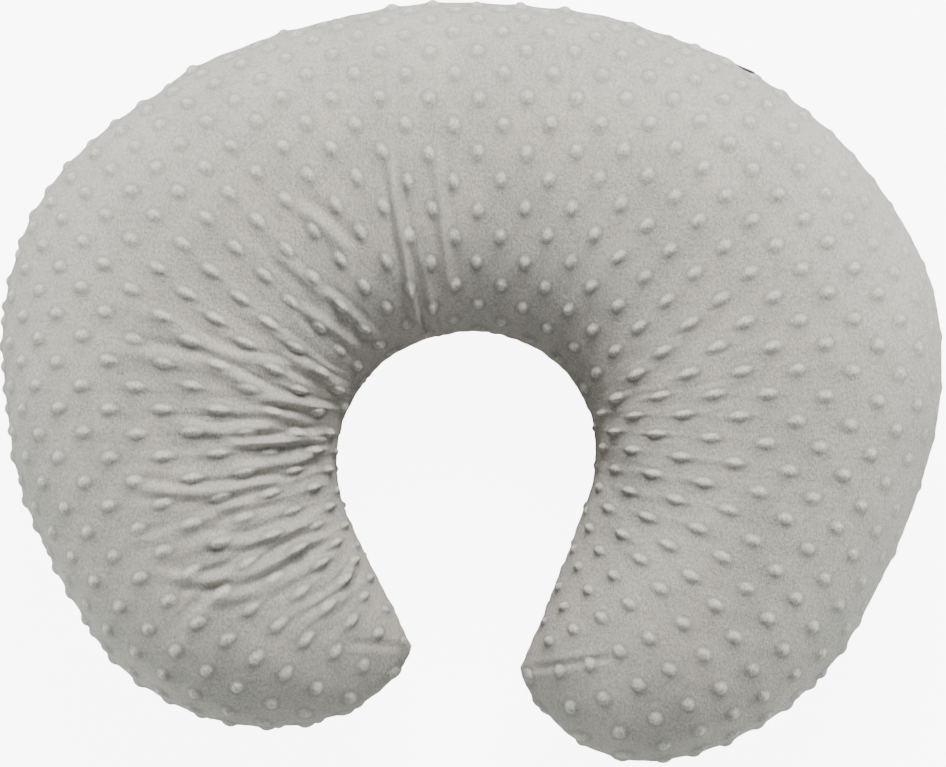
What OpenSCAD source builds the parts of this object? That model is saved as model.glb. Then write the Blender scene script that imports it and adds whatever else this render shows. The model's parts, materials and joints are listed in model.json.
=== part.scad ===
// Nursing pillow: a C-shaped stuffed cushion in a zip-off plush cover.
// It lies flat on z = 0 with its opening toward -Y. Every soft layer is the same form, inset a little
// further: ribs join the outer seam line to the inner seam line, and each rib carries a rounded section.

/* [Outline] */
// Distance from the zip arc's centre to the outer seam at the back
back_r = 335; // [325:1:345]
// Height of the back seam above the row of the arms' widest point
back_y = 206.5; // [200:0.5:212]
// Top of the waist hollow, on the same scale
hollow_y = 28; // [24:0.5:34]

/* [Section] */
// Height of the seam line above the surface it rests on
seam_z = 68; // [64:1:72]
// Rise of the upper half above the seam where the roll is thickest
top_rise = 88; // [80:1:92]
// Depth of the lower half below the seam before it is flattened by its weight
base_drop = 79; // [76:1:82]
// Half width at which the roll reaches most of its height
full_w = 75; // [70:1:80]
// Squareness of the rounded section (2 is an ellipse)
roundness = 2.2; // [2.0:0.05:2.5]

/* [Cover] */
// Thickness of the plush fabric with its nap
plush_t = 2; // [1.6:0.1:2.4]
// Gap between the two panels along the sewn seam
seam_gap = 0.8; // [0.8:0.1:1.2]
// Half height of the gap between the panel edges along the zip
placket_half = 5; // [4.6:0.1:5.5]

/* [Inner cushion] */
// Distance from the cover's face to the casing's face
casing_inset = 5.8; // [5.7:0.1:6.2]
// Thickness of the casing fabric
casing_t = 0.8; // [0.6:0.1:1.0]
// Distance from the cover's face to the fibre filling
fill_inset = 7.4; // [7.3:0.1:8]

/* [Zip] */
// Where the zip ends on the left, in degrees round the back arc
zip_left = -28; // [-30:0.5:-20]
// Where the closed slider stands on the right, in degrees round the back arc
zip_right = 23.5; // [18:0.5:24]
// Width of each tape
tape_w = 10; // [8:0.5:10]
// Thickness of each tape
tape_t = 0.4; // [0.3:0.05:0.45]
// Half the gap between the two tapes
tape_gap = 0.7; // [0.65:0.05:0.8]
// Depth of the tapes' outer face behind the cover's face
tape_depth = 3.6; // [3.5:0.05:3.7]
// Width of one row of the coil
coil_w = 2.4; // [2.2:0.1:2.6]
// Length of the pull tab from its pin
tab_len = 24; // [18:1:26]
// Width of the pull tab
tab_w = 6; // [5:0.5:6.5]

/* [Hidden] */

plush_colour = [0.80, 0.79, 0.77];
zip_colour = [0.62, 0.61, 0.59];
metal_colour = [0.30, 0.30, 0.31];
thread_colour = [0.74, 0.73, 0.71];
casing_colour = [0.93, 0.93, 0.92];
label_colour = [0.97, 0.97, 0.96];

// Seam lines as tangent arcs, [radius, degrees], walked from the middle of the back to the arm's tip.
outer_right = [[back_r, 25], [216, 37], [155, 42], [389, 18], [146, 46], [77, 81]];
outer_left = [[back_r, 36], [150, 53], [276, 36], [120, 65], [80, 52]];
inner_right = [[69, 112], [2861, 2]];
inner_left = [[81, 27], [72, 91], [4382, 1]];

ribs = 64;          // ribs from one arm's tip to the other's
cover_steps = 14;   // facets across a cover panel
casing_steps = 10;  // facets across a casing panel and the filling
rib_lag = 0.12;     // how far the inner end of a rib lags the outer end at the arm's elbow
edge_power = 6;     // how suddenly the roll's height drops where it narrows
tip_gap = 0.006;    // share of the outline left off at each tip, and again for each mm of inset
zip_y = back_y - back_r;

function sgn_pow(x, k) = sign(x) * pow(abs(x), k);
function ramp(x) = let (t = min(1, max(0, x))) t * t * (3 - 2 * t);
function arc_len(a) = a[0] * a[1] * PI / 180;
function line_len(line, i = 0) = i == len(line) ? 0 : arc_len(line[i]) + line_len(line, i + 1);

// The point a share q of the way along a seam line, with every radius changed by grow.
function walk(line, grow, left, p, heading, i = 0) =
    let (a = line[i], part = min(1, left / arc_len(a)), turned = heading - a[1] * part, r = a[0] + grow)
    let (q = p + r * [sin(heading) - sin(turned), cos(turned) - cos(heading)])
    left <= arc_len(a) || i == len(line) - 1 ? q
        : walk(line, grow, left - arc_len(a), q, turned, i + 1);

// Outer and inner seam points. s runs from -1 at the left tip through 0 at the back to 1 at the right tip.
function outer_point(s, inset) =
    let (line = s < 0 ? outer_left : outer_right)
    let (p = walk(line, -inset, abs(s) * line_len(line), [0, back_y - inset], 0))
    [s < 0 ? -p.x : p.x, p.y];
function inner_free(s, inset) =
    let (line = s < 0 ? inner_left : inner_right)
    let (q = abs(s) - rib_lag * pow(sin(180 * pow(abs(s), 1.3)), 2))
    let (p = walk(line, inset, q * line_len(line), [0, hollow_y + inset], 0))
    [s < 0 ? -p.x : p.x, p.y];
tip_closure = [for (s = [-1, 1]) outer_point(s, 0) - inner_free(s, 0)];
function inner_point(s, inset) =
    inner_free(s, inset) + pow(abs(s), 4) * tip_closure[s < 0 ? 0 : 1];

function last_s(inset) = 1 - tip_gap * (1 + inset);
function rib_s(i, inset) = last_s(inset) * (2 * i / ribs - 1);
outline = [for (i = [0:ribs]) outer_point(rib_s(i, 0), 0)];
middle = [
    (min([for (p = outline) p.x]) + max([for (p = outline) p.x])) / 2,
    (min([for (p = outline) p.y]) + max([for (p = outline) p.y])) / 2
];

// Rise of a half section above or below the seam, for a rib of half width w.
function fullness(w) = w / pow(pow(w, edge_power) + pow(full_w, edge_power), 1 / edge_power);
function half_rise(w, inset, up) = max(0.3, (up ? top_rise : base_drop) * fullness(w) - inset);

// A point on the skin: phi goes from 0 at the outer seam, over the top or under the base, to 180.
function skin(s, phi, inset, up) =
    let (a = outer_point(s, inset), b = inner_point(s, inset), w = norm(a - b) / 2)
    let (u = sgn_pow(cos(phi), 2 / roundness), v = pow(sin(phi), 2 / roundness))
    let (xy = (a + b) / 2 + (a - b) / 2 * u, rise = half_rise(w, inset, up) * v)
    [xy.x - middle.x, xy.y - middle.y, up ? seam_z + rise : max(inset, seam_z - rise)];

// The angle at which the skin is h away from the seam line.
function phi_at(s, h, inset, up) =
    let (w = norm(outer_point(s, inset) - inner_point(s, inset)) / 2)
    asin(pow(min(0.9, h / half_rise(w, inset, up)), roundness / 2));

// Half gap at the outer seam: sewn edge to edge, but parted along the zip.
function back_angle(s) = s * line_len(s < 0 ? outer_left : outer_right) / (back_r * PI / 180);
function parted(s) = ramp((back_angle(s) - zip_left + 4) / 4) * ramp((zip_right + 5.5 - back_angle(s)) / 4);
function edge_gap(s, open) = seam_gap / 2 + (open ? (placket_half - seam_gap / 2) * parted(s) : 0);

function skin_rows(inset, up, open, steps) = [
    for (i = [0:ribs])
        let (s = rib_s(i, inset))
        let (from = phi_at(s, edge_gap(s, open), inset, up), to = 180 - phi_at(s, seam_gap / 2, inset, up))
        for (j = [0:steps]) skin(s, from + (to - from) * j / steps, inset, up)
];

// Two triangles for each cell of a grid of rows by columns, wound one way or the other.
function cells(rows, columns, start, flip) = [
    for (i = [0:rows - 1], j = [0:columns - 1])
        let (a = start + i * (columns + 1) + j, b = a + 1, c = a + columns + 1, d = c + 1)
        for (f = flip ? [[a, c, b], [b, c, d]] : [[a, b, c], [b, d, c]]) f
];
function rim_path(rows, columns) = concat(
    [for (j = [0:columns]) j],
    [for (i = [1:rows]) i * (columns + 1) + columns],
    [for (j = [1:columns]) rows * (columns + 1) + columns - j],
    [for (i = [1:rows - 1]) (rows - i) * (columns + 1)]
);

// A closed sheet between two grids of the same size.
module sheet(outside, inside, rows, columns, flip) {
    shift = len(outside);
    rim = rim_path(rows, columns);
    walls = [
        for (k = [0:len(rim) - 1])
            let (a = rim[k], b = rim[(k + 1) % len(rim)])
            for (f = flip ? [[a, b, a + shift], [b, b + shift, a + shift]]
                          : [[b, a, a + shift], [b, a + shift, b + shift]]) f
    ];
    polyhedron(
        concat(outside, inside),
        concat(cells(rows, columns, 0, flip), cells(rows, columns, shift, !flip), walls)
    );
}

module panel(inset, thickness, up, open, steps)
    sheet(
        skin_rows(inset, up, open, steps), skin_rows(inset + thickness, up, open, steps),
        ribs, steps, !up
    );

// A small sheet that follows the skin, between two values of s and two of phi.
module patch(s_range, phi_range, inset, thickness, up) {
    rows = 4;
    columns = 4;
    grids = [
        for (depth = [inset, inset + thickness]) [
            for (i = [0:rows], j = [0:columns])
                let (s = s_range[0] + (s_range[1] - s_range[0]) * i / rows)
                let (phi = phi_range[0] + (phi_range[1] - phi_range[0]) * j / columns)
                skin(s, phi, depth, up)
        ]
    ];
    sheet(grids[0], grids[1], rows, columns, !up);
}

// A thread that follows the seam line: round both tips and the hollow, or all the way along the back too.
function seam_path(inset, from_s, to_s) = concat(
    [for (i = [0:48]) outer_point(from_s + (last_s(inset) - from_s) * i / 48, inset)],
    [for (i = [0:48]) inner_point(last_s(inset) * (1 - i / 24), inset)],
    [for (i = [0:48]) outer_point(-last_s(inset) + (to_s + last_s(inset)) * i / 48, inset)]
);
module seam_thread(inset, r, from_s, to_s) {
    path = seam_path(inset, from_s, to_s);
    n = len(path);
    rings = [
        for (k = [0:n - 1])
            let (step = path[min(n - 1, k + 1)] - path[max(0, k - 1)])
            let (across = [-step.y, step.x] / norm(step))
            let (p = path[k] - middle)
            for (c = [[r, 0], [0, r], [-r, 0], [0, -r]])
                [p.x + across.x * c[0], p.y + across.y * c[0], seam_z + c[1]]
    ];
    sides = [
        for (k = [0:n - 2], j = [0:3])
            let (a = 4 * k + j, b = 4 * k + (j + 1) % 4, c = a + 4, d = b + 4)
            for (f = [[a, c, b], [b, c, d]]) f
    ];
    ends = [[0, 1, 2], [0, 2, 3], [4 * n - 4, 4 * n - 2, 4 * n - 3], [4 * n - 4, 4 * n - 1, 4 * n - 2]];
    polyhedron(rings, concat(sides, ends));
}

// A band round the back arc: depths are behind the cover's face, heights are from the seam line.
module arc_band(a0, a1, depth0, depth1, h0, h1)
    translate([-middle.x, zip_y - middle.y, seam_z])
        rotate_extrude(angle = a1 - a0, start = 90 - a1, $fn = 240)
            translate([back_r - depth1, h0]) square([depth1 - depth0, h1 - h0]);

// Puts a piece at an angle round the back arc, with x along the zip and y out from the cover's face.
module at_back(angle)
    translate([-middle.x, zip_y - middle.y, seam_z])
        rotate([0, 0, -angle])
            translate([0, back_r, 0]) children();

module block(x0, x1, y0, y1, z0, z1)
    translate([x0, y0, z0]) cube([x1 - x0, y1 - y0, z1 - z0]);

// Cover

module cover_top_panel() color(plush_colour) panel(0, plush_t, true, true, cover_steps);
module cover_bottom_panel() color(plush_colour) panel(0, plush_t, false, true, cover_steps);
module cover_seam_thread() color(thread_colour)
    seam_thread(plush_t / 2, 0.3, (zip_right + 8) / back_angle(1), (zip_left - 7) / -back_angle(-1));

// Zip

module zip_tape_upper() color(zip_colour)
    arc_band(zip_left - 1.5, zip_right + 3, tape_depth, tape_depth + tape_t, tape_gap, tape_gap + tape_w);
module zip_tape_lower() color(zip_colour)
    arc_band(zip_left - 1.5, zip_right + 3, tape_depth, tape_depth + tape_t, -tape_gap - tape_w, -tape_gap);

coil_inner = tape_depth - 0.1;
coil_outer = tape_depth - 1.65;
module zip_coil_upper() color(zip_colour)
    arc_band(zip_left + 1, zip_right, coil_outer, coil_inner, 0.1, 0.1 + coil_w);
module zip_coil_lower() color(zip_colour)
    arc_band(zip_left + 1, zip_right, coil_outer, coil_inner, -0.1 - coil_w, -0.1);

slider_half = 5;      // half the slider's length
plate_out = -0.25;    // outer face of the slider's front plate
plate_in = -1.15;     // inner face of the slider's front plate
back_plate_in = -5.0; // inner face of the slider's back plate
lip_in = -3.3;        // how far the front plate's lips reach in toward the tape
lip_z = 3;            // inner side of each lip
wing_z = 3.9;         // outer side of each lip
wedge_z = 0.5;        // half height of the wedge that parts the coils
pin_y = 1.15;         // height of the pull tab's pin above the cover's face
pin_r = 0.6;          // radius of that pin
eye_r = 1.2;          // outer radius of the pull tab's eye
eye_half = 2.3;       // half length of the eye
pin_play = 0.06;      // running clearance between the pin and the eye

module zip_slider_body() color(metal_colour) at_back(zip_right) {
    difference() {
        union() {
            block(-slider_half, slider_half, plate_in, plate_out, -wing_z, wing_z);
            for (side = [-1, 1])
                block(-slider_half, slider_half, lip_in, plate_out,
                      side > 0 ? lip_z : -wing_z, side > 0 ? wing_z : -lip_z);
        }
        for (side = [-1, 1])
            translate([slider_half, 0, side * (wing_z + 1.2)]) rotate([90, 0, 0])
                translate([0, 0, -1]) cylinder(r = 1.9, h = 5, $fn = 32);
    }
    block(-slider_half, slider_half, back_plate_in, back_plate_in + 0.7, -3.4, 3.4);
    block(1, slider_half - 1, back_plate_in, plate_out, -wedge_z, wedge_z);
    for (side = [-1, 1])
        translate([0, 0, side * 2.9]) hull() {
            translate([0, pin_y, 0]) cylinder(r = 1.1, h = 0.8, center = true, $fn = 32);
            translate([0, plate_out - 0.2, 0]) cube([3.4, 0.4, 0.8], center = true);
        }
    translate([0, pin_y, 0]) cylinder(r = pin_r, h = 5.8, center = true, $fn = 32);
}

module zip_pull_tab() color(metal_colour) at_back(zip_right) translate([0, pin_y, 0]) difference() {
    union() {
        cylinder(r = eye_r, h = 2 * eye_half, center = true, $fn = 32);
        translate([0, 0.6, 0]) rotate([90, 0, 0]) linear_extrude(1) difference() {
            hull() {
                translate([1, -eye_half + 0.2]) square([1, 2 * eye_half - 0.4]);
                translate([tab_len - tab_w / 2, 0]) circle(d = tab_w, $fn = 48);
            }
            translate([tab_len - tab_w / 2, 0]) circle(d = tab_w / 2, $fn = 32);
        }
    }
    cylinder(r = pin_r + pin_play, h = 8, center = true, $fn = 32);
}

module zip_top_stops() color(metal_colour) at_back(zip_right)
    for (side = [-1, 1])
        block(7.5, 9.5, -tape_depth + 0.05, -1.4, side > 0 ? 0.8 : -2.8, side > 0 ? 2.8 : -0.8);
module zip_bottom_stop() color(metal_colour) at_back(zip_left)
    block(0, 3, -tape_depth + 0.05, -1.2, -2.8, 2.8);

// Stitching and labels

stitch_h = 7; // height of the topstitching above and below the zip's middle
module zip_stitching_upper() color(thread_colour)
    arc_band(zip_left - 1, zip_right + 2, -0.5, -0.05, stitch_h, stitch_h + 0.5);
module zip_stitching_lower() color(thread_colour)
    arc_band(zip_left - 1, zip_right + 2, -0.5, -0.05, -stitch_h - 0.5, -stitch_h);
module zip_bartacks() color(thread_colour)
    for (a = [zip_left - 1.4, zip_right + 2.3]) arc_band(a, a + 0.35, -0.5, -0.05, -6, 6);

module care_label() color(label_colour) patch([0.03, 0.07], [14, 44], 3.7, 0.4, false);
module casing_label() color(label_colour) patch([-0.30, -0.25], [5, 26], 4.9, 0.4, false);

// Inner cushion

module casing_top_panel() color(casing_colour) panel(casing_inset, casing_t, true, false, casing_steps);
module casing_bottom_panel() color(casing_colour) panel(casing_inset, casing_t, false, false, casing_steps);
module casing_seam_thread() color(thread_colour) seam_thread(casing_inset + casing_t / 2, 0.25, 0.01, -0.01);

closing_count = 24;   // stitches that close the filling hole
closing_pitch = 0.9;  // degrees between them
module casing_closing_stitches() color(thread_colour)
    for (k = [0:closing_count - 1])
        at_back((k - (closing_count - 1) / 2) * closing_pitch)
            rotate([0, 25, 0]) block(-0.3, 0.3, -casing_inset + 0.1, -casing_inset + 0.6, -2.2, 2.2);

module fibre_fill() color(casing_colour) {
    ring = [
        for (i = [0:ribs])
            let (s = rib_s(i, fill_inset))
            for (j = [0:2 * casing_steps - 1])
                j <= casing_steps ? skin(s, 180 * j / casing_steps, fill_inset, true)
                    : skin(s, 180 * (2 * casing_steps - j) / casing_steps, fill_inset, false)
    ];
    n = 2 * casing_steps;
    sides = [
        for (i = [0:ribs - 1], j = [0:n - 1])
            let (a = i * n + j, b = i * n + (j + 1) % n, c = a + n, d = b + n)
            for (f = [[a, b, c], [b, d, c]]) f
    ];
    last = ribs * n;
    ends = concat([for (j = [1:n - 2]) [0, j + 1, j]], [for (j = [1:n - 2]) [last, last + j, last + j + 1]]);
    polyhedron(ring, concat(sides, ends));
}

cover_top_panel();
cover_bottom_panel();
cover_seam_thread();
zip_tape_upper();
zip_tape_lower();
zip_coil_upper();
zip_coil_lower();
zip_slider_body();
zip_pull_tab();
zip_top_stops();
zip_bottom_stop();
zip_stitching_upper();
zip_stitching_lower();
zip_bartacks();
care_label();
casing_top_panel();
casing_bottom_panel();
casing_seam_thread();
casing_closing_stitches();
casing_label();
fibre_fill();
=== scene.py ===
"""A nursing pillow: a C-shaped stuffed cushion in a dotted plush cover with a zip along its back.

Lengths in the formulas are in millimetres and become metres when a mesh is filled.
"""

import json
import math

import bmesh
import bpy
import numpy as np
from bpy.props import FloatProperty, FloatVectorProperty, IntProperty
from mathutils import Matrix, Vector


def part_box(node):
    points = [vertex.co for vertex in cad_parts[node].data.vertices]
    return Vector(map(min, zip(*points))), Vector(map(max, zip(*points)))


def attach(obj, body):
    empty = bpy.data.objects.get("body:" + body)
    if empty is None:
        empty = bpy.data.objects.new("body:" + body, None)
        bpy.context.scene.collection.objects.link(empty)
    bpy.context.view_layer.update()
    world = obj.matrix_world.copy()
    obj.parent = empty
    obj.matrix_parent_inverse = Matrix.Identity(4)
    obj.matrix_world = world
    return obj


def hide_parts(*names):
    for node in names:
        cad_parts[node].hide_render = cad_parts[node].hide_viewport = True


bl_info = {
    "name": "Nursing pillow",
    "version": (1, 0, 0),
    "blender": (4, 5, 0),
    "location": "View3D > Sidebar > Pillow",
    "description": "Builds a nursing pillow in a dotted plush cover around its packed frame",
    "category": "Add Mesh",
}

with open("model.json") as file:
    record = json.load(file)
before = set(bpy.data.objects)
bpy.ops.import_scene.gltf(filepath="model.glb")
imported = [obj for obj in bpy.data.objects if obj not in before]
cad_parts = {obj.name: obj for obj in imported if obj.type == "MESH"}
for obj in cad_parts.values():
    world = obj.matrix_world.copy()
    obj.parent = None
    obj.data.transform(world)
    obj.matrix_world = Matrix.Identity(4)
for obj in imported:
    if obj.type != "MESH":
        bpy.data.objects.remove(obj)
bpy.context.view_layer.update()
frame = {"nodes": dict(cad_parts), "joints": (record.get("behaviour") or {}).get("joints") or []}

MM = 0.001
BODY = "cover_and_cushion"
SLIDER = "zip_slider"
TAB = "pull_tab"

JOINTS = {joint["name"]: joint for joint in frame["joints"]}
ZIP_CENTRE = [value / MM for value in JOINTS["zip_slider_travel"]["pos_m"]]
THREAD_LOW, THREAD_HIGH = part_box("cover_seam_thread")
SEAM_Z = (THREAD_LOW.z + THREAD_HIGH.z) / 2 / MM

# Seam lines as tangent arcs (radius, degrees) from the middle of the back to each arm's tip.
OUTER_ARCS = {
    1: [(335, 25), (216, 37), (155, 42), (389, 18), (146, 46), (77, 81)],
    -1: [(335, 36), (150, 53), (276, 36), (120, 65), (80, 52)],
}
INNER_ARCS = {1: [(69, 112), (2861, 2)], -1: [(81, 27), (72, 91), (4382, 1)]}
BACK_RADIUS = OUTER_ARCS[1][0][0]
BACK_Y = 206.5
HOLLOW_Y = 28.0
RIB_LAG = 0.12
TIP_GAP = 0.006
EDGE_POWER = 6

# Depths under the cover's face: the casing's outer and inner faces, its seam thread and the fibre.
CASING_FACE = 5.8
CASING_BACK = 6.5
CASING_THREAD = 6.6
FIBRE_FACE = 7.4

# Soft lights: name, place and size in metres, power in watts.
KEY = "key_from_behind"
LIGHTS = (
    (KEY, (0.18, 1.42, 1.38), (1.0, 1.0), 80.0),
    ("left_side", (-1.9, -0.1, 0.16), (1.6, 0.26), 33.0),
    ("right_side", (1.9, -0.2, 0.16), (1.6, 0.26), 30.0),
    ("front", (0.0, -2.0, 0.22), (1.6, 0.3), 12.0),
)
SKY_STRENGTH = 0.16

# Finished grids of the two cover panels, for what is sewn on them.
SKINS = {}

# Long folds of the slack cloth, each bent through three points (x, y) of the top face: height, width.
FOLDS = [
    ((-45, 128), (-38, 76), (-28, 22), 3.4, 2.6),
    ((-20, 132), (-16, 82), (-10, 30), 2.2, 2.8),
    ((-37, 58), (-32, 42), (-27, 26), 1.6, 1.8),
    ((-28, 74), (-24, 50), (-20, 27), 1.5, 2.4),
    ((-98, 97), (-80, 84), (-63, 66), 1.7, 3.6),
    ((-110, 72), (-92, 58), (-74, 40), 1.3, 3.0),
    ((-96, 43), (-78, 31), (-56, 15), 1.9, 2.8),
    ((-82, 52), (-66, 38), (-48, 21), 1.6, 2.4),
    ((-104, 17), (-88, 8), (-68, -4), 2.0, 2.8),
    ((-160, -19), (-132, -25), (-92, -17), 1.6, 3.0),
    ((-142, -29), (-112, -31), (-76, -27), 2.0, 2.7),
    ((-136, -47), (-104, -42), (-78, -33), 1.9, 2.8),
    ((-188, -53), (-150, -58), (-112, -54), 2.2, 3.0),
    ((-140, -66), (-112, -63), (-80, -52), 1.5, 2.6),
    ((-150, -80), (-118, -84), (-78, -66), 1.9, 3.0),
    ((-172, -98), (-128, -103), (-74, -76), 2.3, 3.0),
    ((-150, -112), (-118, -112), (-72, -90), 1.4, 3.0),
    ((-122, -8), (-98, -10), (-74, -14), 1.5, 2.6),
    ((28, -158), (50, -152), (80, -146), -0.9, 2.2),
    ((-36, -146), (-52, -142), (-72, -140), -0.6, 2.6),
]


def ramp(x):
    """Smooth step from 0 at x = 0 to 1 at x = 1."""
    t = np.clip(x, 0, 1)
    return t * t * (3 - 2 * t)


def bell(x):
    return np.exp(-x * x)


def arcs_length(arcs):
    return sum(radius * math.radians(angle) for radius, angle in arcs)


def walk(arcs, grow, distance, start_y):
    """Points at each distance along a chain of arcs, with every radius changed by grow."""
    radii = np.array([arc[0] for arc in arcs], float)
    sweeps = np.radians([arc[1] for arc in arcs])
    begins = np.r_[0, np.cumsum(radii * sweeps)]
    headings = -np.r_[0, np.cumsum(sweeps)]
    corners = [np.array([0.0, start_y])]
    for radius, before, after in zip(radii + grow, headings[:-1], headings[1:]):
        step = np.array([math.sin(before) - math.sin(after), math.cos(after) - math.cos(before)])
        corners.append(corners[-1] + radius * step)
    which = np.clip(np.searchsorted(begins, distance, side="right") - 1, 0, len(arcs) - 1)
    before = headings[which]
    after = before - (distance - begins[which]) / radii[which]
    radius = radii[which] + grow
    step = np.stack([np.sin(before) - np.sin(after), np.cos(after) - np.cos(before)], -1)
    return np.array(corners)[which] + radius[:, None] * step


def seam_points(s, inset, arcs, start_y, grow, lag):
    """Seam points for s from -1 at the left tip, through 0 at the back, to 1 at the right tip."""
    points = np.zeros(s.shape + (2,))
    for side in (1, -1):
        here = s >= 0 if side > 0 else s < 0
        share = np.abs(s[here])
        share = share - lag * np.sin(np.pi * share**1.3) ** 2
        found = walk(arcs[side], grow * inset, share * arcs_length(arcs[side]), start_y + grow * inset)
        found[:, 0] *= side
        points[here] = found
    return points


def outer_line(s, inset=0.0):
    return seam_points(s, inset, OUTER_ARCS, BACK_Y, -1, 0) - MIDDLE


def inner_line(s, inset=0.0):
    free = seam_points(s, inset, INNER_ARCS, HOLLOW_Y, 1, RIB_LAG) - MIDDLE
    return free + (np.abs(s) ** 4)[:, None] * CLOSURE[(s >= 0).astype(int)]


MIDDLE = np.zeros(2)
CLOSURE = np.zeros((2, 2))
TIPS = np.array([-1.0, 1.0])
CLOSURE = outer_line(TIPS) - inner_line(TIPS)
OUTLINE = outer_line(np.linspace(-1, 1, 2001))
MIDDLE = (OUTLINE.min(0) + OUTLINE.max(0)) / 2


def last_s(inset):
    return 1 - TIP_GAP * (1 + inset)


def back_angle(s):
    """Degrees round the back arc, for a share s of the outer seam."""
    lengths = np.where(s < 0, arcs_length(OUTER_ARCS[-1]), arcs_length(OUTER_ARCS[1]))
    return np.degrees(s * lengths / BACK_RADIUS)


def section(look, s, share, inset, up, parted=0.0):
    """The skin at each s (rows) and each share across, from the outer seam at 0 to the inner seam at 1."""
    outer, inner = outer_line(s, inset), inner_line(s, inset)
    half = np.linalg.norm(outer - inner, axis=1) / 2
    fullness = half / (half**EDGE_POWER + look.full_width**EDGE_POWER) ** (1 / EDGE_POWER)
    rise = np.maximum(0.3, (look.top_rise if up else look.base_drop) * fullness - inset)
    gap = look.seam_gap / 2 + (look.placket_half - look.seam_gap / 2) * parted
    start = np.arcsin(np.minimum(0.9, gap / rise) ** (look.roundness / 2))
    stop = math.pi - np.arcsin(np.minimum(0.9, look.seam_gap / 2 / rise) ** (look.roundness / 2))
    phi = start[:, None] + (stop - start)[:, None] * share
    across = np.sign(np.cos(phi)) * np.abs(np.cos(phi)) ** (2 / look.roundness)
    lift = rise[:, None] * np.abs(np.sin(phi)) ** (2 / look.roundness)
    flat = ((outer + inner) / 2)[:, None] + ((outer - inner) / 2)[:, None] * across[..., None]
    z = SEAM_Z + lift if up else np.maximum(inset, SEAM_Z - lift)
    return np.concatenate([flat, z[..., None]], -1)


def normals(points, up):
    """Unit normals of a grid of points, facing out of the pillow."""
    found = np.cross(np.gradient(points, axis=0), np.gradient(points, axis=1))
    found /= np.maximum(np.linalg.norm(found, axis=-1, keepdims=True), 1e-9)
    middle = found[found.shape[0] // 2, found.shape[1] // 2, 2]
    return found * (1 if (middle > 0) == up else -1)


def distances(line):
    """Distance of each point of a line from the first, along the line."""
    return np.r_[0, np.cumsum(np.linalg.norm(np.diff(line, axis=0), axis=1))]


def lengths_across(points):
    """Distance along each row from its first point."""
    steps = np.linalg.norm(np.diff(points, axis=1), axis=2)
    return np.concatenate([np.zeros((len(points), 1)), np.cumsum(steps, axis=1)], 1)


def cut_pattern(s, points, opening, free=(0.0, 0.0), extra=0.0, ease=(1.0, 1.0)):
    """Where each point lies on the flat panel before sewing, and each rib's direction there.

    The flat panel turns as the pillow does up to the free angle (right, left) and by the opening's share
    beyond it; extra is the surplus length that the left arm is cut with; ease is how much longer and wider
    the cut is.
    """
    along = lengths_across(points)
    crest = np.argmin(np.abs(np.linspace(0, 1, points.shape[1]) - 0.5))
    across = (along[:, crest:crest + 1] - along) * ease[1]
    outer, inner = outer_line(s), inner_line(s)
    middle = (outer + inner) / 2
    rib = (outer - inner) / np.linalg.norm(outer - inner, axis=1)[:, None]
    steps = np.diff(middle, axis=0)
    turn = np.unwrap(np.arctan2(steps[:, 1], steps[:, 0]))
    start = np.argmin(np.abs(s))
    turn -= turn[start]
    kept = np.clip(turn, -free[0], free[1])
    laid = kept + opening * (turn - kept)
    length = np.linalg.norm(steps, axis=1) * (1 + extra * ramp((-0.2 - s[1:]) / 0.2)) * ease[0]
    flat = length * np.array([np.cos(laid), np.sin(laid)])
    spine = np.concatenate([np.zeros((1, 2)), np.cumsum(flat.T, axis=0)])
    spine -= spine[start]
    back = np.append(laid - turn, laid[-1] - turn[-1])
    rib = np.stack([
        rib[:, 0] * np.cos(back) - rib[:, 1] * np.sin(back),
        rib[:, 0] * np.sin(back) + rib[:, 1] * np.cos(back),
    ], -1)
    return spine[:, None] + across[..., None] * rib[:, None], rib


def slackness(look, s, share):
    """How bunched the cloth is, from 0 to 1: most on the left arm's inner half, a little on the right's."""
    left = ramp((0.02 - s) / 0.12) * ramp((s + 0.93) / 0.12) * (0.4 + 0.6 * ramp((-0.26 - s) / 0.12))
    right = ramp((s - 0.26) / 0.12) * ramp((0.8 - s) / 0.15)
    wide = ramp((share - 0.33) / 0.26)
    narrow = ramp((share - 0.42) / 0.2)
    return left[:, None] * wide * look.slack_left + right[:, None] * narrow * look.slack_right


def scatter(a, b, seed):
    """A repeatable number from 0 to 1 for each pair of whole numbers."""
    return np.modf(np.abs(np.sin(a * 127.1 + b * 311.7 + seed * 74.7) * 43758.5453))[0]


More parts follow.
